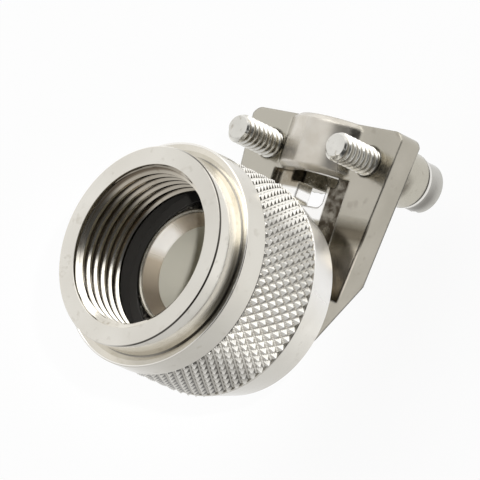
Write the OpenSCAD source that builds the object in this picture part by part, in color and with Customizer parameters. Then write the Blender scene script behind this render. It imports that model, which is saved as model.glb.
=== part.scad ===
// Right-angle strain relief for a circular connector: a knurled coupling nut turns
// on a one-piece elbow, and a loose bar clamps the cable against the elbow's saddle.
// The coupling thread's axis is Z and its mouth faces up; the cable leaves along +Y.

/* [Coupling thread] */
// Radius of the thread's inner wall
thread_r = 8.86; // [8.6:0.01:9.2]
// Length of the threaded wall
thread_len = 7.3; // [6.6:0.1:8.4]
// Pitch of the thread's grooves
thread_pitch = 1.27; // [1:0.01:1.6]
// Depth of the thread's grooves
thread_depth = 0.66; // [0.4:0.01:0.7]
// Depth of the lead-in at the mouth, half of it a chamfer
lead_in = 0.7; // [0.4:0.05:1]
// Radius of the run-out groove behind the thread
relief_r = 9.65; // [9.4:0.05:10.2]
// Width of the run-out groove
relief_w = 1.9; // [1.4:0.1:2.4]

/* [Coupling nut] */
// Radius of the plain lip round the mouth
lip_r = 11.75; // [11:0.05:12.2]
// How far the lip stands in front of the flange's edge
lip_h = 3.05; // [2:0.05:3.4]
// Depth of the dished face between the lip and the flange's edge
dish = 0.8; // [0.5:0.05:1.2]
// Radius of the plain flange in front of the knurl
flange_r = 13.2; // [12.8:0.05:14]
// Width of the plain flange
flange_w = 3.2; // [2:0.05:5]
// Length of the knurled band
knurl_len = 9.1; // [7:0.1:12]
// Depth of the knurl's grooves
knurl_depth = 0.5; // [0.3:0.05:0.7]
// Diamonds round the knurled band
knurl_count = 68; // [50:1:80]
// Half-diamonds along the knurled band
knurl_rows = 9; // [7:1:12]
// Length of the plain band behind the knurl
rear_len = 5.2; // [4:0.1:8]
// Radius at the nut's rear edge
rear_r = 11.4; // [11:0.05:12.6]
// Chamfer on the nut's outer edges
edge_chamfer = 0.2; // [0.1:0.05:0.3]

/* [Neck and ferrule] */
// Radius of the neck that the nut turns on
neck_r = 8.4; // [8.2:0.05:8.5]
// Radial clearance between the neck and the nut
neck_clear = 0.08; // [0.02:0.01:0.1]
// Radius of the wire passage
bore_r = 5.4; // [4.5:0.05:5.6]
// Outer radius of the ferrule's rim
rim_r = 6.95; // [6.6:0.05:7.1]
// Wall of the rim at its edge
rim_wall = 0.3; // [0.2:0.05:0.4]
// How far the rim stands above the tooth roots
rim_rise = 2.05; // [1.2:0.05:2.15]
// Length of the taper from the rim down to the bore
taper_len = 1.75; // [1.5:0.05:4]
// Anti-rotation teeth round the ferrule
tooth_count = 36; // [24:1:48]
// Height of the anti-rotation teeth
tooth_h = 0.7; // [0.4:0.05:0.9]
// Drop from the nut's inner shoulder to the tooth roots
tooth_drop = 0.4; // [0.2:0.05:0.6]

/* [Retaining ring] */
// Wire diameter of the retaining ring
ring_wire = 1.1; // [0.8:0.05:1.3]
// Clearance round the ring in its grooves
ring_clear = 0.12; // [0.08:0.01:0.2]
// Distance of the ring from the nut's rear face
ring_set = 3; // [2:0.1:4]
// Gap between the ring's ends, in degrees
ring_gap = 24; // [10:1:40]

/* [Elbow and arms] */
// Gap between the nut's rear face and the elbow's shoulder
back_gap = 0.35; // [0.2:0.05:0.6]
// Distance of the arms' front faces behind the nut
arm_set = 2.65; // [2.4:0.05:5]
// Thickness of the arms
arm_t = 3.2; // [2.8:0.1:5]
// Distance from the screws to the ears' outer edges at their tops
ear_edge = 4.2; // [3.8:0.1:5]
// Half-width across the elbow at its lower end
arm_half_low = 9; // [8.6:0.1:10.5]
// Half-width of the hollow between the arms
hollow_half = 5.9; // [5.6:0.1:6.2]
// Distance from the screws up to the ears' tops
ear_rise = 4; // [3.6:0.1:5]
// Distance from the screws down to the ears' lower edge
ear_fall = 2.6; // [2.4:0.1:3.2]
// Radius of the ears' outer corners
ear_round = 1.4; // [0.8:0.1:2.4]
// Distance of the elbow's lower end below the nut's axis
heel_drop = 5.6; // [4.8:0.1:6.2]
// Height at which the elbow's slanted back begins
heel_top = 4.8; // [3:0.1:7]
// Height of the step where the elbow's block meets the arms
step_y = 2; // [1:0.1:3]
// Wall behind the hollow
back_wall = 2.4; // [1.6:0.1:2.6]
// Half-width of the window in the back wall
window_half = 2.2; // [2:0.1:3.4]
// Height of the window's lower edge
window_low = 12.4; // [11:0.1:12.6]
// Radius of the window's lower corners
window_round = 0.8; // [0.4:0.1:1.2]

/* [Cable clamp] */
// Radius of the clamped cable
cable_r = 4.2; // [3.6:0.05:4.4]
// Distance of the cable's axis behind the arms' front faces
cable_set = 3.1; // [2.8:0.05:3.2]
// Outer radius of the fixed saddle
saddle_r = 7; // [6.6:0.05:7.4]
// Distance of the saddle's centre behind the arms' front faces
saddle_set = 4.4; // [4:0.05:4.8]
// Chamfer on the saddle's two edges
saddle_edge = 0.6; // [0.3:0.1:1]
// Radius of the hollow corners where the saddle grows out of the arms
saddle_fillet = 1.2; // [0.6:0.1:1.6]
// Gap between the arms and the loose bar
bar_gap = 0.4; // [0.2:0.05:0.8]
// Thickness of the loose bar at its ends
bar_t = 3.7; // [2.8:0.1:4.6]
// Half-height of the loose bar
bar_half_h = 3.3; // [3.1:0.05:3.6]
// Half-length of the loose bar
bar_half_l = 11; // [10.8:0.1:12]
// Wall of the loose bar over the cable
bar_arch_t = 1.4; // [1.2:0.1:1.6]
// Depth of the milled seats under the lock washers
seat_depth = 0.15; // [0.1:0.05:0.3]

/* [Clamp screws] */
// Half the distance between the screws
screw_x = 7.7; // [7.5:0.05:8.1]
// Height of the screws above the nut's axis
screw_y = 18.6; // [18.2:0.1:19]
// Radius of the screws
screw_r = 1.75; // [1.4:0.05:1.8]
// Pitch of the screws' thread
screw_pitch = 0.79; // [0.5:0.01:1]
// Depth of the screws' thread
screw_groove = 0.45; // [0.3:0.01:0.5]
// Radial clearance of the screws in the ears
screw_clear = 0.05; // [0.02:0.01:0.1]
// Radial clearance of the screws in the bar and washers
pass_clear = 0.2; // [0.15:0.05:0.4]
// How far the tips stand in front of the arms
tip_out = 5.95; // [5.6:0.05:7.5]
// Chamfer at the tips
tip_chamfer = 0.35; // [0.2:0.05:0.6]
// Radius of the heads
head_r = 2.95; // [2.6:0.01:3.4]
// Height of the heads' straight sides
head_side = 2.1; // [1.5:0.1:3]
// Height of the heads' domes
head_dome = 0.9; // [0.5:0.05:1.2]
// Width of the driving slots
slot_w = 1; // [0.7:0.05:1.2]
// Depth of the driving slots
slot_depth = 1.4; // [0.8:0.1:1.8]
// Outer radius of the lock washers
washer_r = 3.1; // [2.9:0.05:3.15]
// Thickness of the lock washers
washer_t = 0.8; // [0.6:0.05:1.2]
// Width of the split in a lock washer
washer_split = 0.5; // [0.3:0.05:0.8]
// Face clearance between the bar, the washers and the heads
face_gap = 0.05; // [0.02:0.01:0.1]

/* [Hidden] */
plating = [0.74, 0.72, 0.68];
bright = [0.82, 0.81, 0.78];
round_fn = 96;
over = 1;

// Heights on the nut, from its mouth down
mouth_z = lead_in;
flange_z = mouth_z - lip_h;
knurl_top = flange_z - flange_w;
knurl_low = knurl_top - knurl_len;
nut_back = knurl_low - rear_len;
shoulder_z = -thread_len - relief_w;
thread_turns = floor(thread_len / thread_pitch);
thread_top = (thread_len - thread_turns * thread_pitch) / 2;
nut_bore_r = neck_r + neck_clear;
ring_z = nut_back + ring_set;
ring_groove_h = ring_wire / 2 + ring_clear;
ring_r = neck_r + neck_clear / 2;

// Heights and widths on the elbow
arm_half_top = screw_x + ear_edge;
ear_top = screw_y + ear_rise;
ear_low = screw_y - ear_fall;
tooth_z = shoulder_z - tooth_drop;
rim_z = tooth_z + rim_rise;
neck_back = nut_back - back_gap;
arm_front = nut_back - arm_set;
arm_back = arm_front - arm_t;
hollow_back = arm_back + back_wall;
heel_slope = (neck_back - arm_back) / (heel_top + heel_drop);
slant_wall = back_wall * sqrt(1 + heel_slope * heel_slope);

// Heights on the clamp
cable_z = arm_front - cable_set;
saddle_z = arm_front - saddle_set;
bar_front = arm_back - bar_gap;
bar_back = bar_front - bar_t;
seat_z = bar_back + seat_depth;
washer_top = seat_z - face_gap;
washer_low = washer_top - washer_t;
head_top = washer_low - face_gap;
tip_z = arm_front + tip_out;
screw_turns = floor((tip_z - tip_chamfer - head_top) / screw_pitch - 0.5);

// Depth of the elbow's slanted back at height y
function back_at(y) = arm_back + (heel_top - y) * heel_slope;

// Outer radius of the grid point in column i and row j: crowns where the sum is even
function knurl_r(i, j) =
    (j == 0 || j == knurl_rows) ? flange_r - knurl_depth
    : (i + j) % 2 == 0 ? flange_r : flange_r - knurl_depth;

// Groove of a thread as four corners in radius and height, from its lower edge up. A nut's
// groove has a flat root of an eighth of the pitch and a screw's of a quarter, its crest the other.
function groove(r, depth, pitch, middle) =
    let (root = pitch / (depth > 0 ? 16 : 8), edge = pitch / 2 - pitch / (depth > 0 ? 8 : 16))
    [[r, middle - edge], [r + depth, middle - root], [r + depth, middle + root], [r, middle + edge]];

// Closed ring of four-sided diamond points, sunk at both ends into the plain bands
module knurl_band(sink) {
    columns = 2 * knurl_count;
    heights = concat([knurl_low - sink], [for (j = [0:knurl_rows]) knurl_low + knurl_len * (j + 0.3) /
              (knurl_rows + 0.6)], [knurl_top + sink]);
    inner_r = flange_r - 2 * knurl_depth;
    rings = len(heights);
    outer = [for (k = [0:rings - 1]) for (i = [0:columns - 1])
        let (r = (k == 0 || k == rings - 1) ? flange_r - knurl_depth : knurl_r(i, k - 1))
        [r * cos(180 * i / knurl_count), r * sin(180 * i / knurl_count), heights[k]]];
    inner = [for (k = [0, rings - 1]) for (i = [0:columns - 1])
        [inner_r * cos(180 * i / knurl_count), inner_r * sin(180 * i / knurl_count), heights[k]]];
    low = rings * columns;
    high = low + columns;
    top = (rings - 1) * columns;
    sides = [for (k = [0:rings - 2]) for (i = [0:columns - 1])
        let (n = (i + 1) % columns, a = k * columns + i, b = k * columns + n)
        let (c = b + columns, d = a + columns)
        each ((i + k) % 2 == 0 ? [[a, d, b], [b, d, c]] : [[a, c, b], [a, d, c]])];
    ends = [for (i = [0:columns - 1]) let (n = (i + 1) % columns)
        each [[i, n, low + n, low + i], [top + n, top + i, high + i, high + n],
              [low + i, low + n, high + n, high + i]]];
    polyhedron(concat(outer, inner), concat(sides, ends));
}

module coupling_nut() {
    core_r = flange_r - 1.5 * knurl_depth;
    rear_start = flange_r - edge_chamfer;
    color(plating) union() {
        rotate_extrude($fn = round_fn) polygon(concat([
            [thread_r, 0], [thread_r + lead_in, mouth_z - lead_in / 2], [thread_r + lead_in, mouth_z],
            [lip_r - edge_chamfer, mouth_z],
            [lip_r, mouth_z - edge_chamfer], [lip_r, flange_z - dish],
            [flange_r - edge_chamfer, flange_z], [flange_r, flange_z - edge_chamfer],
            [flange_r, knurl_top], [core_r, knurl_top], [core_r, knurl_low],
            [rear_start, knurl_low], [rear_r, nut_back + edge_chamfer],
            [rear_r - edge_chamfer, nut_back], [nut_bore_r, nut_back],
            [nut_bore_r, ring_z - ring_groove_h], [ring_r + ring_groove_h, ring_z - ring_groove_h],
            [ring_r + ring_groove_h, ring_z + ring_groove_h], [nut_bore_r, ring_z + ring_groove_h],
            [nut_bore_r, shoulder_z], [relief_r, shoulder_z], [relief_r, -thread_len],
            [thread_r, -thread_len]],
            [for (k = [thread_turns - 1:-1:0])
                each groove(thread_r, thread_depth, thread_pitch, -thread_top - (k + 0.5) * thread_pitch)]));
        knurl_band(edge_chamfer);
    }
}

// Tube of the neck with its ferrule rim, ring groove and open bore
module neck() {
    groove_r = ring_r - ring_groove_h;
    rotate_extrude($fn = round_fn) polygon([
        [rim_r - rim_wall, rim_z], [rim_r, rim_z], [rim_r, tooth_z], [neck_r, tooth_z],
        [neck_r, ring_z + ring_groove_h], [groove_r, ring_z + ring_groove_h],
        [groove_r, ring_z - ring_groove_h], [neck_r, ring_z - ring_groove_h], [neck_r, neck_back],
        [0, neck_back], [0, rim_z - taper_len], [bore_r, rim_z - taper_len]]);
}

// Ring of wedge teeth that lock the elbow to its connector, each as wide as the gap beside it
module teeth() {
    root_half = PI * (rim_r + neck_r) / tooth_count / 4;
    sunk_half = 1.5 * root_half;
    for (i = [0:tooth_count - 1]) rotate([0, 0, 360 * i / tooth_count])
        translate([rim_r - rim_wall / 2, 0, tooth_z])
            rotate([90, 0, 90])
                linear_extrude(neck_r - rim_r)
                    polygon([[-sunk_half, -tooth_h / 2], [sunk_half, -tooth_h / 2], [0, tooth_h]]);
}

// Outline of the elbow and its arms, seen along the nut's axis
module front_outline() {
    difference() {
        polygon([[-arm_half_low, -heel_drop], [arm_half_low, -heel_drop], [arm_half_top, ear_top],
                 [-arm_half_top, ear_top]]);
        for (side = [-1, 1]) translate([side * (arm_half_top - ear_round), ear_top - ear_round])
            difference() {
                translate([side > 0 ? 0 : -ear_round - over, 0]) square(ear_round + over);
                circle(r = ear_round, $fn = round_fn);
            }
    }
}

// Outline of the elbow seen from its side, drawn in Y and Z
module side_outline() {
    polygon([[-heel_drop, neck_back], [step_y, neck_back], [step_y, arm_front], [ear_top, arm_front],
             [ear_top, arm_back], [heel_top, arm_back]]);
}

// Side view of the space inside the back wall and its slanted heel
module hollow_outline() {
    y_low = -bore_r - over;
    y_turn = heel_top + (hollow_back - arm_back - slant_wall) / -heel_slope;
    polygon([[y_low, rim_z - taper_len], [y_low, back_at(y_low) + slant_wall],
             [y_turn, hollow_back], [ear_low, hollow_back], [ear_low, rim_z - taper_len]]);
}

// Extrudes an outline drawn in Y and Z across the full width
module across(half) {
    rotate([90, 0, 90]) translate([0, 0, -half]) linear_extrude(2 * half) children();
}

// Outline of the window with its two rounded lower corners, seen along the nut's axis
module window_outline() {
    corner_x = window_half - window_round;
    corner_y = window_low + window_round;
    for (side = [-1, 1]) translate([side * corner_x, corner_y]) circle(r = window_round, $fn = round_fn);
    translate([-corner_x, window_low]) square([2 * corner_x, window_round + over]);
    translate([-window_half, corner_y]) square([2 * window_half, ear_low - corner_y + over]);
}

// Cylinder about the cable's axis, between two heights along it
module about_cable(r, low, high) {
    translate([0, high, cable_z]) rotate([90, 0, 0]) cylinder(r = r, h = high - low, $fn = round_fn);
}

// Round bulge of the saddle with chamfered edges, cut off inside the ears
module saddle_bulge() {
    intersection() {
        translate([0, 0, saddle_z]) rotate([-90, 0, 0]) rotate_extrude($fn = round_fn) polygon([
            [0, ear_low], [saddle_r - saddle_edge, ear_low], [saddle_r, ear_low + saddle_edge],
            [saddle_r, ear_top - saddle_edge], [saddle_r - saddle_edge, ear_top], [0, ear_top]]);
        translate([-saddle_r - over, ear_low - over, arm_front - over / 2])
            cube([2 * (saddle_r + over), ear_top - ear_low + 2 * over, saddle_r]);
    }
}

// Hollow corners where the bulge grows out of the ears, drawn in X and Z
module saddle_corners() {
    reach = saddle_r + saddle_fillet;
    rise = saddle_set + saddle_fillet;
    corner_x = sqrt(reach * reach - rise * rise);
    share = saddle_r / reach;
    for (side = [-1, 1]) difference() {
        polygon([[0, arm_front - over / 2], [0, saddle_z + saddle_r / 2 + rise * share / 2],
                 [side * corner_x * share, saddle_z + rise * share],
                 [side * corner_x, saddle_z + rise], [side * corner_x, arm_front - over / 2]]);
        translate([side * corner_x, saddle_z + rise]) circle(r = saddle_fillet, $fn = round_fn);
    }
}

module elbow_body() {
    width = arm_half_top + over;
    hollow_top = neck_back - over / 2;
    color(plating) difference() {
        union() {
            neck();
            teeth();
            intersection() {
                across(width) side_outline();
                translate([0, 0, arm_back]) linear_extrude(neck_back - arm_back) front_outline();
            }
            saddle_bulge();
            translate([0, ear_top - saddle_edge, 0]) rotate([90, 0, 0])
                linear_extrude(ear_top - ear_low - 2 * saddle_edge) saddle_corners();
        }
        // Wire passage and the hollow between the arms, both stopped by the back wall
        intersection() {
            across(hollow_half) hollow_outline();
            union() {
                translate([0, 0, arm_back]) cylinder(r = bore_r, h = rim_z - arm_back, $fn = round_fn);
                translate([-bore_r, 0, arm_back]) cube([2 * bore_r, ear_low, hollow_top - arm_back]);
                translate([-hollow_half, step_y, arm_back])
                    cube([2 * hollow_half, ear_low - step_y, hollow_top - arm_back]);
            }
        }
        // Window in the back wall, open towards the cable
        translate([0, 0, arm_back - over]) linear_extrude(back_wall + 2 * over) window_outline();
        // Cable passage under the saddle, open to the loose bar
        about_cable(cable_r, ear_low - over, ear_top + over);
        translate([-cable_r, ear_low - over, arm_back - over])
            cube([2 * cable_r, ear_top - ear_low + 2 * over, cable_z - arm_back + over]);
        for (side = [-1, 1]) translate([side * screw_x, screw_y, arm_back - over])
            cylinder(r = screw_r + screw_clear, h = arm_t + 2 * over, $fn = round_fn);
    }
}

module retaining_ring() {
    color(bright) rotate([0, 0, ring_gap / 2]) translate([0, 0, ring_z])
        rotate_extrude(angle = 360 - ring_gap, $fn = round_fn)
            translate([ring_r, 0]) circle(r = ring_wire / 2, $fn = round_fn / 2);
}

module clamp_bar() {
    arch_r = cable_r + bar_arch_t;
    arch_h = arch_r - (cable_z - bar_front);
    bar_low = screw_y - bar_half_h;
    bar_top = screw_y + bar_half_h;
    end_x = bar_half_l - bar_half_h;
    color(plating) difference() {
        union() {
            translate([-end_x, bar_low, bar_back]) cube([2 * end_x, 2 * bar_half_h, bar_t]);
            for (side = [-1, 1]) translate([side * end_x, screw_y, bar_back])
                cylinder(r = bar_half_h, h = bar_t, $fn = round_fn);
            intersection() {
                about_cable(arch_r, bar_low, bar_top);
                translate([-arch_r, bar_low, bar_front - arch_h])
                    cube([2 * arch_r, 2 * bar_half_h, arch_h]);
            }
        }
        about_cable(cable_r, bar_low - over, bar_top + over);
        for (side = [-1, 1]) translate([side * screw_x, screw_y, bar_back - over]) {
            cylinder(r = screw_r + pass_clear, h = bar_t + 2 * over, $fn = round_fn);
            cylinder(r = washer_r + 2 * pass_clear, h = over + seat_depth, $fn = round_fn);
        }
    }
}

// Ring with one slanted split
module lock_washer(side) {
    color(bright) translate([side * screw_x, screw_y, washer_low]) difference() {
        cylinder(r = washer_r, h = washer_t, $fn = round_fn);
        translate([0, 0, -over]) cylinder(r = screw_r + pass_clear, h = washer_t + 2 * over, $fn = round_fn);
        translate([0, washer_r / 2, washer_t / 2]) rotate([0, 30, 0])
            cube([washer_split, washer_r + over, 3 * washer_t], center = true);
    }
}

// Slotted screw with a domed head, its tip up
module clamp_screw(side) {
    head_low = head_top - head_side - head_dome;
    dome_r = (head_r * head_r + head_dome * head_dome) / (2 * head_dome);
    color(bright) translate([side * screw_x, screw_y, 0]) difference() {
        union() {
            rotate_extrude($fn = round_fn) polygon(concat(
                [[0, tip_z], [0, head_top - over], [screw_r, head_top - over]],
                [for (k = [screw_turns - 1:-1:0])
                    each groove(screw_r, -screw_groove, screw_pitch, tip_z - tip_chamfer - (k + 0.6) * screw_pitch)],
                [[screw_r, tip_z - tip_chamfer], [screw_r - tip_chamfer, tip_z]]));
            intersection() {
                translate([0, 0, head_low]) cylinder(r = head_r, h = head_side + head_dome, $fn = round_fn);
                translate([0, 0, head_low + dome_r]) sphere(r = dome_r, $fn = round_fn);
            }
        }
        translate([-slot_w / 2, -head_r - over, head_low - over])
            cube([slot_w, 2 * (head_r + over), slot_depth + over]);
    }
}

module lock_washer_left() { lock_washer(-1); }
module lock_washer_right() { lock_washer(1); }
module clamp_screw_left() { clamp_screw(-1); }
module clamp_screw_right() { clamp_screw(1); }

coupling_nut();
elbow_body();
retaining_ring();
clamp_bar();
lock_washer_left();
lock_washer_right();
clamp_screw_left();
clamp_screw_right();
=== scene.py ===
import math
import bmesh
import bpy
import numpy as np
from mathutils import Matrix


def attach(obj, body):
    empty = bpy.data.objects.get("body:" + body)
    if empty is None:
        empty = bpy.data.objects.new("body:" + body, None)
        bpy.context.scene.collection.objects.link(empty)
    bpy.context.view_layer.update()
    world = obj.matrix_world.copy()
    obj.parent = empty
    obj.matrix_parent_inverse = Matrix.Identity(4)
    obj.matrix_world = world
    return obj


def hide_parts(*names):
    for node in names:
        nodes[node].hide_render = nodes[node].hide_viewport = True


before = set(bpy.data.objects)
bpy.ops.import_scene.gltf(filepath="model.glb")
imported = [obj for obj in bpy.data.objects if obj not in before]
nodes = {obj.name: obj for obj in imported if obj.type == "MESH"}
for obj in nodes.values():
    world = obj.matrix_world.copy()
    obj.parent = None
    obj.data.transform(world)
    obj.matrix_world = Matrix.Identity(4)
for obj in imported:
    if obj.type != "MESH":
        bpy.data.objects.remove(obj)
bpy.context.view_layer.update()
mm = 0.001  # sizes of the pieces are in millimetres


# Points in millimetres and faces become a mesh in metres. Points closer than the weld distance are made one, so
# seams and poles close, and the faces are turned outwards when the enclosed volume comes out negative.
def putMesh(name, points, faces, sharpAngle, weld=1e-4):
    mesh = bpy.data.meshes.new(name)
    mesh.from_pydata((points * mm).tolist(), [], faces)
    work = bmesh.new()
    work.from_mesh(mesh)
    bmesh.ops.remove_doubles(work, verts=work.verts, dist=weld * mm)
    bmesh.ops.dissolve_degenerate(work, edges=work.edges, dist=weld * mm)
    if work.calc_volume(signed=True) < 0:
        bmesh.ops.reverse_faces(work, faces=work.faces)
    work.to_mesh(mesh)
    work.free()
    mesh.polygons.foreach_set("use_smooth", np.ones(len(mesh.polygons), dtype=bool))
    mesh.set_sharp_from_angle(angle=math.radians(sharpAngle))
    piece = bpy.data.objects.new(name, mesh)
    bpy.context.scene.collection.objects.link(piece)
    return piece


# Four-cornered faces of a grid with that many rows and columns, joined round in either direction if asked.
def gridFaces(rows, columns, roundRows=False, roundColumns=True):
    j, i = np.meshgrid(np.arange(rows if roundRows else rows - 1),
                       np.arange(columns if roundColumns else columns - 1), indexing="ij")
    up, on = (j + 1) % rows, (i + 1) % columns
    return np.stack([j * columns + i, j * columns + on, up * columns + on, up * columns + i], -1).reshape(-1, 4)


# Corners (radius, height, rounding) become a closed outline: each rounding is an arc between the two points where
# it touches the sides, and one more point stands just outside each arc, so that flat faces stay flat when shaded
# smooth.
def roundedOutline(corners, steps=4, support=0.05):
    spot = np.array([c[:2] for c in corners], float)
    outline = []
    for k, (here, size) in enumerate(zip(spot, (c[2] for c in corners))):
        before, after = spot[k - 1] - here, spot[(k + 1) % len(spot)] - here
        before, after = before / np.hypot(*before), after / np.hypot(*after)
        if size == 0:
            outline.append(here[None])
            continue
        half = math.acos(max(-1.0, min(1.0, float(before @ after)))) / 2
        reach = size / math.tan(half)
        middle = here + (before + after) / np.hypot(*(before + after)) * size / math.sin(half)
        start, end = here + before * reach - middle, here + after * reach - middle
        turn = np.linspace(0, 1, steps + 1)[:, None]
        swing = math.pi - 2 * half
        arc = (np.sin((1 - turn) * swing) * start + np.sin(turn * swing) * end) / math.sin(swing)
        ends = [here + way * (reach + support) for way in (before, after)]
        outline.append(np.vstack([ends[0], middle + arc, ends[1]]))
    return np.vstack(outline)


# Points at radius r, angle t and height z: x = r cos t, y = r sin t, z = z.
def aroundAxis(r, t, z):
    return np.stack([r * np.cos(t), r * np.sin(t), z + 0 * t], -1).reshape(-1, 3)


# Surface of revolution: every point of the outline is carried round the axis.
def revolved(outline, columns):
    t = 2 * np.pi * np.arange(columns) / columns
    points = aroundAxis(outline[:, 0, None], t, outline[:, 1, None])
    return points, gridFaces(len(outline), columns, roundRows=True)


# Rows along a helix, z = low + pitch x (row / rows per turn + t / 2 pi), held between the two ends. With them comes
# the thread's height, 0 at the root and 1 at the crest: a flat of the crest's share, a straight flank and a flat of
# the root's share, along the distance from the crest's middle in half pitches.
def helixRows(size, low, high):
    t = 2 * np.pi * np.linspace(0, 1, size["columns"] + 1)
    rows = math.ceil((high - low) / size["pitch"] * size["perTurn"])
    step = np.arange(-size["perTurn"], rows + 1)[:, None] / size["perTurn"]
    z = np.clip(low + size["pitch"] * (step + t / (2 * np.pi)), low, high)
    turns = (z - low) / size["pitch"] - t / (2 * np.pi)
    fromCrest = 2 * np.abs(turns - np.round(turns))
    flank = (1 - size["root"] - fromCrest) / (1 - size["root"] - size["crest"])
    return t, z, np.clip(flank, 0, 1)


# Helix rows closed by one row more at each end, at a radius of its own.
def closedRows(r, z, endRadius, low, high):
    count = r.shape[1]
    end = np.full((1, count), endRadius)
    return np.vstack([end, r, end]), np.vstack([np.full((1, count), low), z, np.full((1, count), high)])


# One node of a shader tree: settings by attribute, then its inputs by name or number, each a constant or a link.
def addNode(tree, kind, settings=None, inputs=None):
    node = tree.nodes.new("ShaderNode" + kind)
    for key, value in (settings or {}).items():
        setattr(node, key, value)
    for key, value in (inputs or {}).items():
        if isinstance(value, bpy.types.NodeSocket):
            tree.links.new(value, node.inputs[key])
        else:
            node.inputs[key].default_value = value
    return node


# Short forms for the nodes that come up most: arithmetic, a range mapped to another, a mix of colours or numbers.
# A mix node's inputs go by place: 6 and 7 are its colours, 2 and 3 its numbers.
def mathNode(tree, kind, *values):
    return addNode(tree, "Math", {"operation": kind}, dict(enumerate(values))).outputs[0]


def rangeNode(tree, value, low, high, atLow=0.0, atHigh=1.0):
    limits = {"Value": value, "From Min": low, "From Max": high, "To Min": atLow, "To Max": atHigh}
    return addNode(tree, "MapRange", None, limits).outputs[0]


def mixColour(tree, part, colour, tint):
    return addNode(tree, "Mix", {"data_type": "RGBA"}, {0: part, 6: colour, 7: (*tint, 1)}).outputs[2]


def mixNumber(tree, part, number, other):
    return addNode(tree, "Mix", {"data_type": "FLOAT"}, {0: part, 2: number, 3: other}).outputs[0]


# Soft window on one coordinate: rises from 0 to 1 across the lower limit and falls again across the upper one.
def windowNode(tree, value, low, high, soft):
    half = soft / 2
    rise = rangeNode(tree, value, (low - half) * mm, (low + half) * mm)
    fall = rangeNode(tree, value, (high - half) * mm, (high + half) * mm, 1.0, 0.0)
    return mathNode(tree, "MULTIPLY", rise, fall)


# A zone of a finish, many of them painted light and shade: its tint, how much of it, its roughness, if need be its
# metal share and the scale of a noise that breaks it up, and windows (lower limit, upper limit, softness) on radius,
# height, x or y.
def zone(tint, amount, rough, metal=None, blotch=None, **windows):
    return {"tint": tint, "amount": amount, "rough": rough, "metal": metal, "blotch": blotch, "windows": windows}


# What all finishes share: the spans and details of the noises, and the span of the painted shade line along the
# edges.
mottle = {"drift": (0.3, 0.7), "driftDetail": 2, "spots": (0.28, 0.4), "spotDetail": 4, "rough": (0.3, 0.7),
          "roughDetail": 3, "cloud": (0.35, 0.6), "cloudLeast": 0.5, "cloudDetail": 4, "grainDetail": 3,
          "edge": (0.92, 0.985), "edgeSamples": 6}
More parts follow.
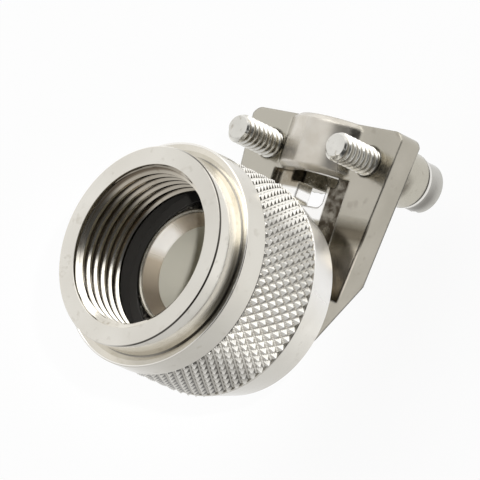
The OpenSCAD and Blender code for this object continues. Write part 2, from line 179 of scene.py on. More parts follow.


# A plated metal: the colour drifts between two tints on a slow noise, spots of stain stand where a finer noise is
# low, and each zone pulls colour, roughness and metal share towards its own. Roughness follows a third noise, and
# the bump is fine grain, even or, where turned, in rings. Faces with the attribute "flank" darken with painted shade.
# Where edges are rounded, a painted shade line darkens where the rounded normal parts from the face's own.
def platedMetal(name, look):
    made = bpy.data.materials.new(name)
    made.use_nodes = True
    tree = made.node_tree
    shader = tree.nodes["Principled BSDF"]
    metalShare = 1.0
    shader.inputs["Metallic"].default_value = metalShare
    place = addNode(tree, "TexCoord").outputs["Object"]
    apart = addNode(tree, "SeparateXYZ", None, {0: place})
    shift = [-c * mm for c in look.get("axis", (0, 0))]
    moved = addNode(tree, "VectorMath", {"operation": "ADD"}, {0: place, 1: (*shift, 0)}).outputs[0]
    flat = addNode(tree, "VectorMath", {"operation": "MULTIPLY"}, {0: moved, 1: (1, 1, 0)}).outputs[0]
    radius = addNode(tree, "VectorMath", {"operation": "LENGTH"}, {0: flat}).outputs["Value"]
    rings = addNode(tree, "CombineXYZ", None, {0: radius, 1: apart.outputs["Z"]}).outputs[0]
    grainPlace = rings if look["turned"] else place
    where = {"radius": radius, "height": apart.outputs["Z"], "x": apart.outputs["X"], "y": apart.outputs["Y"]}

    def noise(scale, detail, source):
        return addNode(tree, "TexNoise", None, {"Scale": scale, "Detail": detail, "Vector": source}).outputs["Fac"]

    def within(part, windows):
        for key, source in where.items():
            if key in windows:
                part = mathNode(tree, "MULTIPLY", windowNode(tree, source, *windows[key]), part)
        return part

    drift = addNode(tree, "ValToRGB", None, {"Fac": noise(look["driftScale"], mottle["driftDetail"], place)})
    for stop, spot, tint in zip(drift.color_ramp.elements, mottle["drift"], (look["tintLow"], look["tintHigh"])):
        stop.position = spot
        stop.color = (*tint, 1)
    stainNoise = noise(look["stainScale"], mottle["spotDetail"], place)
    spots = rangeNode(tree, stainNoise, *mottle["spots"], look["stainAmount"], 0.0)
    colour = mixColour(tree, spots, drift.outputs["Color"], look["stain"])
    roughNoise = noise(look["roughScale"], mottle["roughDetail"], grainPlace)
    rough = rangeNode(tree, roughNoise, *mottle["rough"], *look["rough"])
    for area in look["zones"]:
        part = within(area["amount"], area["windows"])
        if area["blotch"]:
            cloudNoise = noise(area["blotch"], mottle["cloudDetail"], place)
            cloud = rangeNode(tree, cloudNoise, *mottle["cloud"], mottle["cloudLeast"])
            part = mathNode(tree, "MULTIPLY", part, cloud)
        colour = mixColour(tree, part, colour, area["tint"])
        rough = mixNumber(tree, part, rough, area["rough"])
        if area["metal"] is not None:
            metalShare = mixNumber(tree, part, metalShare, area["metal"])
            tree.links.new(metalShare, shader.inputs["Metallic"])
    if "flank" in look:
        carried = addNode(tree, "Attribute", {"attribute_name": "flank"}).outputs["Fac"]
        colour = mixColour(tree, mathNode(tree, "MULTIPLY", carried, look["flank"]), colour, look["flankShadeTint"])
    grain = noise(look["grainScale"], mottle["grainDetail"], grainPlace)
    relief = {"Strength": look["bump"], "Distance": look["bumpDepth"] * mm, "Height": grain}
    bump = addNode(tree, "Bump", None, relief)
    # Painted shade: a dark line along the rounded edges.
    if "edgeRound" in look:
        rounding = {"Radius": look["edgeRound"] * mm}
        edge = addNode(tree, "Bevel", {"samples": mottle["edgeSamples"]}, rounding).outputs[0]
        tree.links.new(edge, bump.inputs["Normal"])
        own = addNode(tree, "NewGeometry").outputs["True Normal"]
        same = addNode(tree, "VectorMath", {"operation": "DOT_PRODUCT"}, {0: edge, 1: own}).outputs["Value"]
        line = rangeNode(tree, same, *mottle["edge"], look["edgeDirt"], 0.0)
        colour = mixColour(tree, within(line, look["edgeWhere"]), colour, look["edgeShadeTint"])
    tree.links.new(colour, shader.inputs["Base Color"])
    tree.links.new(rough, shader.inputs["Roughness"])
    tree.links.new(bump.outputs[0], shader.inputs["Normal"])
    return made


nut = {"mouth": 0.7, "wall": 9.6, "lip": 11.75, "dishLow": -3.15, "flange": 13.2, "flangeTop": -2.35,
       "knurlTop": -5.55, "knurlLow": -14.65, "knurlSeat": 12.58, "rearStart": 13.0, "rear": 11.4, "back": -19.85,
       "bore": 8.48, "ringLow": -17.52, "ringHigh": -16.18, "ringGroove": 9.11, "shoulder": -9.2, "relief": 9.65,
       "threadEnd": -7.3, "square": 0, "mouthRound": 0.04, "lipRound": 0.18, "dishRound": 0.08, "flangeRound": 0.16,
       "knurlRound": 0.12, "rearRound": 0.15, "backRound": 0.25, "boreRound": 0.1, "shoulderRound": 0.08,
       "columns": 240, "sharp": 50}
rearCone = {"radius": (11, 13.1, 0.1), "height": (-20, -14.7, 0.1)}
nut["look"] = {"turned": True, "tintLow": (0.73, 0.70, 0.635), "tintHigh": (0.81, 0.785, 0.725), "driftScale": 160,
               "stain": (0.4, 0.35, 0.27), "stainAmount": 0.25, "stainScale": 900, "rough": (0.08, 0.16),
               "roughScale": 5000, "bump": 0.12, "bumpDepth": 0.02, "grainScale": 9000, "zones": [
                   zone((0.008, 0.007, 0.006), 0.95, 0.4, metal=0.1, radius=(8.3, 9.9, 0.1),
                        height=(-9.6, -7.2, 0.1)),  # run-out groove, black with painted shade
                   zone((0.94, 0.92, 0.88), 0.9, 0.15, radius=(12.35, 13.1, 0.1),
                        height=(-3.2, -2.3, 0.1)),  # outer slope of the dish, painted bright reflection
                   zone((0.04, 0.034, 0.026), 0.95, 0.25, radius=(11.6, 11.9, 0.05), height=(-3.5, -3.0, 0.05),
                        x=(5, 14, 4), y=(-11, 1.5, 4)),  # painted shade at the lip's foot, on one side
                   zone((0.025, 0.02, 0.015), 0.9, 0.25, radius=(11.6, 11.85, 0.04), height=(0.48, 0.69, 0.03),
                        x=(2, 14, 4)),  # painted dark reflection along the lip's edge
                   zone((0.05, 0.042, 0.032), 0.6, 0.3, radius=(11.7, 11.86, 0.05),
                        height=(-3.5, -3.02, 0.05)),  # painted shade in a thin line round the lip's foot
                   zone((0.6, 0.575, 0.52), 0.45, 0.22, radius=(9, 11.6, 0.2), height=(0.4, 1, 0.1),
                        x=(2, 13, 8)),  # mouth's face, painted shade on one side
                   zone((0.6, 0.575, 0.51), 0.35, 0.22, radius=(13.1, 13.4, 0.1), height=(-5.7, -2.3, 0.1),
                        x=(5, 15, 5)),  # flange, painted shade on one side
                   zone((0.56, 0.54, 0.49), 0.6, 0.18, y=(-14, -5, 5), **rearCone),  # rear, painted shade on the far side
                   zone((0.94, 0.93, 0.91), 0.85, 0.35, metal=0.65, x=(6, 14, 4), y=(0, 11, 4),
                        **rearCone)]}  # rear, satin, with a painted bright reflection by the arm

# Radius, height and rounding of each corner, from the mouth outwards and round to the thread's seat.
nutCorners = (("wall", "mouth", "mouthRound"), ("lip", "mouth", "lipRound"), ("lip", "dishLow", "dishRound"),
              ("flange", "flangeTop", "flangeRound"), ("flange", "knurlTop", "knurlRound"),
              ("knurlSeat", "knurlTop", "square"), ("knurlSeat", "knurlLow", "square"),
              ("rearStart", "knurlLow", "rearRound"), ("rear", "back", "backRound"), ("bore", "back", "boreRound"),
              ("bore", "ringLow", "square"), ("ringGroove", "ringLow", "square"),
              ("ringGroove", "ringHigh", "square"), ("bore", "ringHigh", "square"),
              ("bore", "shoulder", "shoulderRound"), ("relief", "shoulder", "square"),
              ("relief", "threadEnd", "square"), ("wall", "threadEnd", "square"))
nutOutline = roundedOutline([[nut[key] for key in corner] for corner in nutCorners])
nutPoints, nutFaces = revolved(nutOutline, nut["columns"])
nutShell = putMesh("nutShell", nutPoints, nutFaces.tolist(), nut["sharp"])
nutShell.data.materials.append(platedMetal("nutPlating", nut["look"]))
print("nut shell:", len(nutFaces), "faces")

knurl = {"crown": nut["flange"], "depth": 0.5, "diamonds": 68, "halfRows": 9, "low": nut["knurlLow"],
         "high": nut["knurlTop"], "perHalf": 4, "flat": 0.98, "inner": 12.3, "endGap": 0.3, "sharp": 18,
         "turnGain": 4, "backGain": 6, "backBase": 0.65, "frontLeast": 0.12, "mostShare": 0.9, "awayFrom": -9,
         "awaySoft": 3, "awayGain": 2.5, "awayBase": 0.9}
# The flank share and its tint below give the knurl's flanks a painted shade.
knurl["look"] = {"turned": False, "tintLow": (0.79, 0.765, 0.71), "tintHigh": (0.87, 0.85, 0.8), "driftScale": 160,
                 "stain": (0.16, 0.135, 0.105), "stainAmount": 0.15, "stainScale": 900, "flank": 0.92,
                 "flankShadeTint": (0.035, 0.03, 0.023), "rough": (0.12, 0.22), "roughScale": 4000, "bump": 0.1,
                 "bumpDepth": 0.02, "grainScale": 7000, "zones": [
                     zone((0.13, 0.11, 0.085), 0.3, 0.3, radius=(12, 12.75, 0.12)),  # painted shade in the bottoms of the grooves
                     zone((0.08, 0.068, 0.052), 0.35, 0.3, radius=(12, 12.95, 0.2),
                          y=(-14, -8, 4)),  # painted shade in the grooves away from the cable
                     zone((0.92, 0.9, 0.86), 0.6, 0.14, radius=(13.06, 13.6, 0.1)),  # worn crowns
                     zone((0.02, 0.016, 0.012), 0.95, 0.4, radius=(12, 13.02, 0.06), height=(-6.0, -5.4, 0.2),
                          y=(-13, 2, 4))]}  # painted shade in the notches at the flange


# Knurled band: radius = crown - depth x (1 - rise), where the rise is the smaller of two triangle waves, one running
# across each family of grooves, cut off flat near the crowns. The ends are cut square and closed by an inner wall.
def knurlSurface(size):
    columns = size["diamonds"] * 2 * size["perHalf"]
    rows = size["halfRows"] * size["perHalf"] + 1
    around = np.arange(columns) / (2 * size["perHalf"]) + 0.5
    along = np.arange(rows)[:, None] / (2 * size["perHalf"])
    first, second = around + along, around - along
    rise = np.minimum(np.abs(first - np.round(first)), np.abs(second - np.round(second))) * 2
    radius = size["crown"] - size["depth"] * (1 - np.minimum(rise, size["flat"]) / size["flat"])
    length = size["high"] - size["low"]
    share = (np.linspace(0, size["halfRows"], rows) + size["endGap"]) / (size["halfRows"] + 2 * size["endGap"])
    height = size["low"] + length * share[:, None] + 0 * around
    low, high = np.full((1, columns), size["low"]), np.full((1, columns), size["high"])
    inner, root = np.full((1, columns), size["inner"]), np.full((1, columns), size["crown"] - size["depth"])
    radius = np.vstack([inner, root, radius, root, inner])
    height = np.vstack([low, low, height, high, high])
    t = 2 * np.pi * np.arange(columns) / columns
    points = aroundAxis(radius, t, height)
    ends = 2  # rows before and behind the grooves
    quads = gridFaces(rows + 2 * ends, columns, roundRows=True)
    j, i = quads[:, 0] // columns - ends, quads[:, 0] % columns
    leaning = ((j // size["perHalf"]) + (i // size["perHalf"])) % 2 == 1
    split = np.where(leaning[:, None], quads[:, [0, 1, 3, 1, 2, 3]], quads[:, [0, 1, 2, 0, 2, 3]])
    return points, split.reshape(-1, 3)


# Painted shade on the flanks, by their lean round the axis and along it: most where a flank leans with the clock and
# back.
# On the side away from the cable it lies on the flanks that lean against the clock.
def flankShading(mesh, size):
    lean, middle = np.empty(len(mesh.polygons) * 3), np.empty(len(mesh.polygons) * 3)
    mesh.polygons.foreach_get("normal", lean)
    mesh.polygons.foreach_get("center", middle)
    lean, middle = lean.reshape(-1, 3), middle.reshape(-1, 3) / mm
    turnwise = (lean[:, 1] * middle[:, 0] - lean[:, 0] * middle[:, 1]) / np.hypot(middle[:, 0], middle[:, 1])
    withClock = np.clip(-size["turnGain"] * turnwise, 0, 1)
    againstClock = np.clip(size["turnGain"] * turnwise, 0, 1)
    away = np.clip(0.5 - (middle[:, 1] - size["awayFrom"]) / size["awaySoft"], 0, 1)
    paintedShade = withClock * np.clip(size["backBase"] - size["backGain"] * lean[:, 2], size["frontLeast"], 1)
    awayShade = againstClock * np.clip(size["awayBase"] - size["awayGain"] * lean[:, 2], 0, 1)
    return (size["mostShare"] * paintedShade * (1 - away) + awayShade * away).astype(np.float32)


knurlPoints, knurlFaces = knurlSurface(knurl)
knurlBand = putMesh("knurlBand", knurlPoints, knurlFaces.tolist(), knurl["sharp"])
# The painted shade goes onto the faces as the attribute "flank".
paintedShade = flankShading(knurlBand.data, knurl)
knurlBand.data.attributes.new("flank", "FLOAT", "FACE").data.foreach_set("value", paintedShade)
knurlBand.data.materials.append(platedMetal("knurlPlating", knurl["look"]))
print("knurled band:", len(knurlFaces), "faces")

coupling = {"major": 9.525, "minor": 8.86, "pitch": 1.27, "top": 0.69, "leadIn": 0.7, "leadSlope": 2,
            "bottom": nut["threadEnd"], "outer": 10.0, "perTurn": 16, "columns": 240, "crest": 0.25, "root": 0.125,
            "sharp": 35}
coupling["look"] = {"turned": True, "tintLow": (0.66, 0.625, 0.55), "tintHigh": (0.76, 0.73, 0.66), "driftScale": 200,
                    "stain": (0.3, 0.24, 0.17), "stainAmount": 0.5, "stainScale": 800, "rough": (0.1, 0.2),
                    "roughScale": 5000, "bump": 0.1, "bumpDepth": 0.02, "grainScale": 9000, "zones": [
                        zone((0.3, 0.245, 0.175), 0.5, 0.16, y=(1.5, 12, 4), x=(-12, 3.5, 4)),  # one quarter, darker and browner
                        zone((0.09, 0.075, 0.055), 0.45, 0.25, height=(-0.1, 0.8, 0.1), y=(-3, 12, 4),
                             x=(-12, 3, 5)),  # its lead-in, painted shade
                        zone((0.13, 0.1, 0.07), 0.85, 0.35, radius=(9.2, 9.7, 0.2), height=(-12, 0.1, 0.1))]}  # painted shade in the roots


# Inside thread: radius = major - (major - minor) x thread height along helix rows, but never inside the lead-in,
# which is a cone over its first half and then plain. The rows close at the outer radius.
def couplingThread(size):
    t, z, height = helixRows(size, size["bottom"], size["top"])
    r = size["major"] - (size["major"] - size["minor"]) * height
    r = np.maximum(r, size["minor"] + np.minimum(size["leadSlope"] * z, size["leadIn"]))
    r, z = closedRows(r, z, size["outer"], size["bottom"], size["top"])
    return aroundAxis(r, t, z), gridFaces(len(r), len(t), roundRows=True, roundColumns=False)


threadPoints, threadFaces = couplingThread(coupling)
nutThread = putMesh("nutThread", threadPoints, threadFaces.tolist(), coupling["sharp"])
nutThread.data.materials.append(platedMetal("threadPlating", coupling["look"]))
print("coupling thread:", len(threadFaces), "faces")

for piece in (nutShell, knurlBand, nutThread):
    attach(piece, "nut")
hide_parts("coupling_nut")


screw = {"x": 7.7, "y": 18.6, "major": 1.75, "minor": 1.27, "pitch": 0.79375, "tip": -16.55, "tipChamfer": 0.35,
         "bottom": -31.0, "perTurn": 14, "columns": 48, "crest": 0.125, "root": 0.25, "shankSharp": 40,
         "headTop": -30.55, "headR": 2.95, "headSide": 2.1, "headDome": 0.9, "slotWidth": 1.0, "slotDepth": 1.4,
         "slotSlices": 5, "slotLean": 1e-3, "headSlices": 40, "headColumns": 33, "headSharp": 30, "edge": 0.12,
         "edgeSteps": 2, "edgeAngle": 40}
screw["look"] = {"turned": False, "tintLow": (0.66, 0.645, 0.6), "tintHigh": (0.76, 0.745, 0.7), "driftScale": 300,
                 "stain": (0.3, 0.25, 0.18), "stainAmount": 0.4, "stainScale": 1200, "rough": (0.14, 0.26),
                 "roughScale": 3000, "bump": 0.1, "bumpDepth": 0.02, "grainScale": 8000, "zones": [
                     zone((0.2, 0.17, 0.12), 0.65, 0.35, radius=(-1, 1.48, 0.16),
                          height=(-30.4, -16.75, 0.1)),  # painted shade in the roots of the thread
                     zone((0.46, 0.45, 0.42), 0.75, 0.2, height=(-34, -30.52, 0.05)),  # head, painted shade, darker
                     zone((0.16, 0.15, 0.135), 0.75, 0.25, height=(-32, -30.52, 1),
                          y=(12, 18.8, 3))]}  # painted shade under the head


# Outside thread on a round shank: radius = minor + (major - minor) x thread height along helix rows, held under the
# cone of the tip's chamfer. One row on the axis closes each end.
def screwShank(size):
    t, z, height = helixRows(size, size["bottom"], size["tip"])
    r = size["minor"] + (size["major"] - size["minor"]) * height
    r = np.minimum(r, size["major"] - size["tipChamfer"] + (size["tip"] - z))
    r, z = closedRows(r, z, 0.0, size["bottom"], size["tip"])
    return aroundAxis(r, t, z), gridFaces(len(r), len(t), roundColumns=False)


# Slotted head: slices across the slot at x, each from edge to edge, y = s x root(R^2 - x^2). The height is the cap of
# a ball, z = low + ball - root(ball^2 - x^2 - y^2), or the slot's floor between its two walls, and the rim goes
# straight up to the seat.
def screwHead(size):
    radius, dome = size["headR"], size["headDome"]
    low = size["headTop"] - size["headSide"] - dome
    ball = (radius ** 2 + dome ** 2) / (2 * dome)
    wall = size["slotWidth"] / 2
    curve = np.sin(np.linspace(0, np.pi / 2, size["headSlices"] // 2))
    side = wall + (radius - wall) * curve
    lean = size["slotLean"]
    inner = np.linspace(-wall, wall, size["slotSlices"])[1:-1]
    x = np.concatenate([-side[::-1], [-wall + lean], inner, [wall - lean], side])[:, None]
    inSlot = np.abs(x) < wall - lean / 2
    s = np.sin(np.linspace(-np.pi / 2, np.pi / 2, size["headColumns"]))
    y = s * np.sqrt(np.maximum(radius ** 2 - x ** 2, 0))
    z = low + ball - np.sqrt(ball ** 2 - x ** 2 - y ** 2)
    z = np.where(inSlot, low + size["slotDepth"], z)
    sheet = np.stack([x + 0 * y, y, z], -1)
    rows, columns = x.shape[0], len(s)
    index = np.arange(rows * columns).reshape(rows, columns)
    rim = np.concatenate([index[:, 0], index[-1, 1:], index[-2::-1, -1], index[0, -2:0:-1]])
    flatPoints = sheet.reshape(-1, 3)
    seat = flatPoints[rim].copy()
    seat[:, 2] = size["headTop"]
    seatIndex = rows * columns + np.arange(len(rim))
    nextRim, nextSeat = np.roll(rim, -1), np.roll(seatIndex, -1)
    strip = np.stack([rim, nextRim, nextSeat, seatIndex], -1)
    faces = gridFaces(rows, columns, roundColumns=False).tolist() + strip[:, ::-1].tolist() + [seatIndex.tolist()]
    return np.vstack([flatPoints, seat]), faces


washer = {"inner": 1.95, "outer": 3.1, "low": -30.5, "high": -29.7, "round": 0.12, "roundSteps": 3, "support": 0.03,
          "split": 14, "lean": 18, "columns": 72, "sharp": 40}
washer["look"] = {"turned": False, "tintLow": (0.3, 0.285, 0.25), "tintHigh": (0.42, 0.4, 0.36), "driftScale": 300,
                  "stain": (0.22, 0.18, 0.13), "stainAmount": 0.5, "stainScale": 1200, "rough": (0.16, 0.3),
                  "roughScale": 3000, "bump": 0.12, "bumpDepth": 0.02, "grainScale": 7000, "zones": [
                      zone((0.03, 0.026, 0.02), 0.9, 0.35, height=(-30.08, -29.6, 0.1)),  # painted shade in the seam against the bar
                      zone((0.9, 0.88, 0.84), 0.8, 0.2, height=(-30.6, -30.08, 0.1))]}  # painted highlight on the rim against the head


# Split washer: a rounded oblong section carried once round the screw but for the split; the angle also leans with
# height, so the two end faces of the split are slanted.
def splitWasher(size):
    order = (("inner", "low"), ("outer", "low"), ("outer", "high"), ("inner", "high"))
    corners = [(size[r], size[z], size["round"]) for r, z in order]
    section = roundedOutline(corners, size["roundSteps"], size["support"])
    r, z = section[:, 0], section[:, 1]
    gap = math.radians(size["split"])
    around = np.linspace(gap / 2, 2 * np.pi - gap / 2, size["columns"])[:, None]
    middle = (size["low"] + size["high"]) / 2
    t = around + np.pi / 2 + math.radians(size["lean"]) * (z - middle) / (size["high"] - size["low"])
    count = len(section)
    ends = [list(range(count))[::-1], list(range((size["columns"] - 1) * count, size["columns"] * count))]
    return aroundAxis(r, t, z), gridFaces(size["columns"], count).tolist() + ends


shankPoints, shankFaces = screwShank(screw)
headPoints, headFaces = screwHead(screw)
washerPoints, washerFaces = splitWasher(washer)
washerSteel = platedMetal("washerSteel", washer["look"])
for side, word in ((-1, "left"), (1, "right")):
    axis = (side * screw["x"], screw["y"])
    shift = np.array([*axis, 0])
    steel = platedMetal("screwSteel." + word, dict(screw["look"], axis=axis))
    shank = putMesh("screwShank." + word, shankPoints + shift, shankFaces.tolist(), screw["shankSharp"])
    head = putMesh("screwHead." + word, headPoints + shift, headFaces, screw["headSharp"])
    soften = head.modifiers.new("soften", "BEVEL")
    soften.width = screw["edge"] * mm
    soften.segments = screw["edgeSteps"]
    soften.limit_method = "ANGLE"
    soften.angle_limit = math.radians(screw["edgeAngle"])
    ring = putMesh("lockWasher." + word, washerPoints + shift, washerFaces, washer["sharp"])
    for piece in (shank, head):
        piece.data.materials.append(steel)
        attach(piece, "screw_" + word)
    ring.data.materials.append(washerSteel)
    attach(ring, "clamp")
    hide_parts("clamp_screw_" + word)
    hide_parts("lock_washer_" + word)
print("screws and washers:", len(shankFaces), len(headFaces), len(washerFaces), "faces each")


saddle = {"x": (-4.6, 4.6, 0.4), "y": (13, 25, 0.5), "height": (-22.4, -16, 0.2)}
armFront = {"height": (-22.85, -20, 0.1)}
rimCone = {"radius": (5.3, 6.5, 0.12), "height": (-9.35, -7.6, 0.1)}
elbow = {"turned": False, "tintLow": (0.42, 0.395, 0.335), "tintHigh": (0.5, 0.47, 0.405), "driftScale": 150,
         "stain": (0.16, 0.13, 0.09), "stainAmount": 0.2, "stainScale": 700, "rough": (0.14, 0.26),
         "roughScale": 1800, "bump": 0.06, "bumpDepth": 0.04, "grainScale": 3500, "edgeRound": 0.42,
         # a line of painted shade along the rounded edges, on the right side only
         "edgeDirt": 1.0, "edgeShadeTint": (0.016, 0.013, 0.009),
         "edgeWhere": {"x": (7.2, 20, 0.4), "y": (-20, 19.2, 1)}, "zones": [
             zone((0.5, 0.475, 0.41), 0.9, 0.22, x=(-13, -4, 3)),  # left ear, painted lighter
             zone((0.78, 0.75, 0.69), 0.9, 0.2, metal=0.7, **saddle),  # saddle, satin
             zone((0.34, 0.29, 0.21), 0.4, 0.3, blotch=420, **saddle),  # its brown clouds
             zone((0.05, 0.04, 0.027), 0.85, 0.2, y=(8.7, 11.3, 1.6), **armFront),  # arm fronts, a band of painted dark reflection
             zone((0.78, 0.71, 0.6), 0.9, 0.25, metal=0.86, blotch=400, y=(3, 8.2, 1.2),
                  **armFront),  # clouds by the neck
             zone((0.3, 0.255, 0.19), 0.9, 0.2, blotch=900, x=(-7, -2.4, 0.4), y=(14.2, 18, 0.8),
                  height=(-29, -22.95, 0.1)),  # left arm's inner side, painted shade in blotches
             zone((0.98, 0.97, 0.95), 1.0, 0.08, x=(-4.6, 2.62, 0.3), y=(11, 14.2, 0.3),
                  height=(-26, -22.6, 0.1)),  # walls of the window, painted bright reflection
             zone((0.06, 0.048, 0.034), 1.0, 0.3, blotch=900, x=(2.66, 5.88, 0.1), y=(-9, 16, 0.1),
                  height=(-27, -22.95, 0.1)),  # right arm's inner side, painted shade
             zone((0.016, 0.013, 0.01), 1.0, 0.3, metal=0.1, blotch=1600, radius=(6.75, 8.5, 0.1),
                  height=(-10.8, -7.9, 0.1)),  # teeth round the rim, black with painted shade
             zone((0.74, 0.64, 0.5), 0.9, 0.26, metal=0.55, **rimCone),  # cone inside the rim
             zone((0.17, 0.14, 0.1), 0.8, 0.24, blotch=500, x=(-3, 8, 3), **rimCone),  # its painted shade, in blotches
             # painted shade on the cone's side away from the cable
             zone((0.15, 0.115, 0.08), 0.7, 0.24, y=(-8, -1.5, 4), **rimCone),
             zone((0.98, 0.96, 0.92), 0.95, 0.3, metal=0.3, x=(-8, -3.6, 1.6), y=(1, 4.6, 1.6),
                  **rimCone),  # its painted highlight
             zone((0.62, 0.6, 0.52), 0.95, 0.6, metal=0.1, radius=(-1, 5.5, 0.1),
                  height=(-30, -9.36, 0.1))]}  # wire passage, matt
bar = {"turned": False, "tintLow": (0.46, 0.435, 0.37), "tintHigh": (0.54, 0.515, 0.445), "driftScale": 180,
       "stain": (0.18, 0.145, 0.1), "stainAmount": 0.3, "stainScale": 700, "rough": (0.14, 0.28),
       "roughScale": 2200, "bump": 0.08, "bumpDepth": 0.04, "grainScale": 4200, "edgeRound": 0.3,
       # a line of painted shade along the rounded edges
       "edgeDirt": 0.6, "edgeShadeTint": (0.1, 0.08, 0.055), "edgeWhere": {}, "zones": [
           zone((0.07, 0.055, 0.04), 0.85, 0.3, blotch=900, height=(-27.2, -26, 0.8), y=(12, 18.2, 1.6),
                x=(8, 14, 1))]}  # painted shadow beside the right ear

keptSolids = {"elbow_body": platedMetal("elbowPlating", elbow), "clamp_bar": platedMetal("barPlating", bar),
              "retaining_ring": washerSteel}
for name, paint in keptSolids.items():
    solid = nodes[name]
    for place in solid.material_slots:
        place.material = paint
    if not solid.material_slots:
        solid.data.materials.append(paint)
print("kept solids painted:", ", ".join(keptSolids))


# Height and windows in millimetres, the rest of the lengths in metres.
ground = {"height": -38.6, "half": 20.0, "paint": 0.92, "rough": 0.9, "seenShare": 0.92, "mirrorShare": 0.95,
          "away": (0.08, 0.2), "awayLevel": 1.15, "lean": 1.2, "band": (-90, -22, 36), "bandShade": 0.3,
          "deep": (-5000, -65, 20), "deepShade": 0.3, "beyond": (0.09, 0.14), "beyondLevel": 1.5}

half, groundZ = ground["half"], ground["height"] * mm
groundCorners = [(x, y, groundZ) for x, y in ((-half, -half), (half, -half), (half, half), (-half, half))]
floorMesh = bpy.data.meshes.new("floor")
floorMesh.from_pydata(groundCorners, [], [(0, 1, 2, 3)])
floor = bpy.data.objects.new("floor", floorMesh)
bpy.context.scene.collection.objects.link(floor)

# White to the camera but for part of the shadow. In reflections it glows as a pale sheet of painted light, brighter
# far out along +X, by x - lean x |y|, and beyond a line towards +Y, with painted shade in a band and then for good
# towards -Y.
floorPaint = bpy.data.materials.new("floorPaint")
floorPaint.use_nodes = True
tree = floorPaint.node_tree
matt = tree.nodes["Principled BSDF"]
matt.inputs["Roughness"].default_value = ground["rough"]
matt.inputs["Base Color"].default_value = (ground["paint"], ground["paint"], ground["paint"], 1)
path = addNode(tree, "LightPath")
direct = mathNode(tree, "MAXIMUM", path.outputs["Is Camera Ray"], path.outputs["Is Transmission Ray"])
apart = addNode(tree, "SeparateXYZ", None, {0: addNode(tree, "TexCoord").outputs["Object"]})
aside = mathNode(tree, "MULTIPLY", mathNode(tree, "ABSOLUTE", apart.outputs["Y"]), ground["lean"])
away = mathNode(tree, "SUBTRACT", apart.outputs["X"], aside)
sheet = rangeNode(tree, away, *ground["away"], 1.0, ground["awayLevel"])
for part in ("band", "deep"):
    strip = windowNode(tree, apart.outputs["Y"], *ground[part])
    sheet = mathNode(tree, "MULTIPLY", sheet, mathNode(tree, "MULTIPLY_ADD", strip, -ground[part + "Shade"], 1.0))
beyond = rangeNode(tree, apart.outputs["Y"], *ground["beyond"], 1.0, ground["beyondLevel"])
sheet = mathNode(tree, "MULTIPLY", sheet, beyond)
glow = addNode(tree, "Emission", None, {"Strength": mixNumber(tree, direct, sheet, 1.0)}).outputs[0]
seen = mathNode(tree, "MULTIPLY", direct, ground["seenShare"])
share = mathNode(tree, "MULTIPLY_ADD", path.outputs["Is Glossy Ray"], ground["mirrorShare"], seen)
both = addNode(tree, "MixShader", None, {0: share, 1: matt.outputs[0], 2: glow}).outputs[0]
tree.links.new(both, tree.nodes["Material Output"].inputs["Surface"])
floor.data.materials.append(floorPaint)

# Pale all round, brightest low down; duller towards -Y, and dark in a wide patch round the camera.
air = {"stops": ((0.0, 1.1), (0.3, 1.1), (0.55, 0.92), (1.0, 1.0)), "strength": 1.0, "sides": (0.35, 0.65),
       "sidesLevel": 0.95, "dull": (-0.75, -0.35), "dullLevel": 0.7, "patch": (0.66, 0.82), "patchLevel": 0.08,
       "patchTowards": (0.686, -0.123, 0.717)}
world = bpy.data.worlds.new("studio")
bpy.context.scene.world = world
world.use_nodes = True
tree = world.node_tree
sky = tree.nodes["Background"]
sky.inputs["Strength"].default_value = air["strength"]
towards = addNode(tree, "TexCoord").outputs["Generated"]
apart = addNode(tree, "SeparateXYZ", None, {0: towards})
ramp = addNode(tree, "ValToRGB", None, {"Fac": apart.outputs["Z"]})
for k, (spot, level) in enumerate(air["stops"]):
    stop = ramp.color_ramp.elements[k] if k < 2 else ramp.color_ramp.elements.new(spot)
    stop.position = spot
    stop.color = (level, level, level, 1)
behind = mathNode(tree, "MULTIPLY", apart.outputs["X"], -1.0)
aside = mathNode(tree, "MAXIMUM", apart.outputs["Y"], behind)
sides = rangeNode(tree, aside, *air["sides"], 0.0, air["sidesLevel"])
level = mathNode(tree, "MAXIMUM", ramp.outputs["Color"], sides)
level = mathNode(tree, "MULTIPLY", level, rangeNode(tree, apart.outputs["Y"], *air["dull"], air["dullLevel"]))
near = addNode(tree, "VectorMath", {"operation": "DOT_PRODUCT"}, {0: towards, 1: air["patchTowards"]})
patch = rangeNode(tree, near.outputs["Value"], *air["patch"], 1.0, air["patchLevel"])
level = mathNode(tree, "MULTIPLY", level, patch)
tree.links.new(level, sky.inputs["Color"])
print("floor and sky set")


# A frame of three axes and a place as the four-by-four matrix of an object.
def placed(right, up, back, at):
    turned = np.eye(4)
    turned[:3, 0], turned[:3, 1], turned[:3, 2], turned[:3, 3] = right, up, back, at
    return Matrix(turned.tolist())


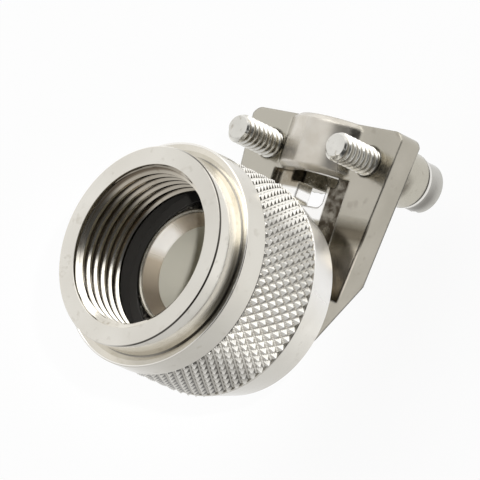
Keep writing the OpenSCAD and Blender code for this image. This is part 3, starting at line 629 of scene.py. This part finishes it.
# A lamp of that kind at a place, turned towards its aim.
def lampTowards(name, kind, at, aim):
    light = bpy.data.lights.new(name, kind)
    lamp = bpy.data.objects.new(name, light)
    bpy.context.scene.collection.objects.link(lamp)
    back = np.subtract(at, aim)
    back /= np.linalg.norm(back)
    right = np.cross((0, 1, 0), back)
    right /= np.linalg.norm(right)
    lamp.matrix_world = placed(right, np.cross(back, right), back, at)
    return lamp


# A soft box on the cable's side, a small one by the camera, seen in the rounded edges, and a narrow lamp into the
# wire passage. Places in metres.
lamps = {"key": {"kind": "AREA", "at": (-0.05, 0.34, 0.36), "aim": (0, 0, 0), "power": 0.7, "size": 0.4},
         "edge": {"kind": "AREA", "at": (0.43, -0.03, 0.49), "aim": (0, 0, 0), "power": 0.05, "size": 0.07},
         "snoot": {"kind": "SPOT", "at": (0.42, -0.02, 0.4), "aim": (-0.004, 0.0, -0.013), "power": 13.0,
                   "angle": 3.2, "blend": 0.6, "soft": 0.01}}
for name, values in lamps.items():
    lamp = lampTowards(name, values["kind"], values["at"], values["aim"])
    lamp.data.energy = values["power"]
    if values["kind"] == "AREA":
        lamp.data.size = values["size"]
    else:
        lamp.data.spot_size = math.radians(values["angle"])
        lamp.data.spot_blend = values["blend"]
        lamp.data.shadow_soft_size = values["soft"]
        lamp.visible_glossy = False

# Fitted to the outlines in the photo, place in metres.
camera = {"at": (0.621212, -0.105509, 0.634720), "right": (0.71351, 0.30594, -0.63032),
          "up": (-0.14212, 0.94413, 0.29737), "back": (0.68608, -0.12260, 0.71712), "lens": 600.0, "sensor": 36,
          "nearest": 0.01, "farthest": 100}
eyeData = bpy.data.cameras.new("camera")
eyeData.lens = camera["lens"]
eyeData.sensor_width = camera["sensor"]
eyeData.clip_start = camera["nearest"]
eyeData.clip_end = camera["farthest"]
eye = bpy.data.objects.new("camera", eyeData)
bpy.context.scene.collection.objects.link(eye)
eye.matrix_world = placed(camera["right"], camera["up"], camera["back"], camera["at"])
bpy.context.scene.camera = eye
bpy.context.scene.view_settings.view_transform = "Standard"
print("lamps and camera set")
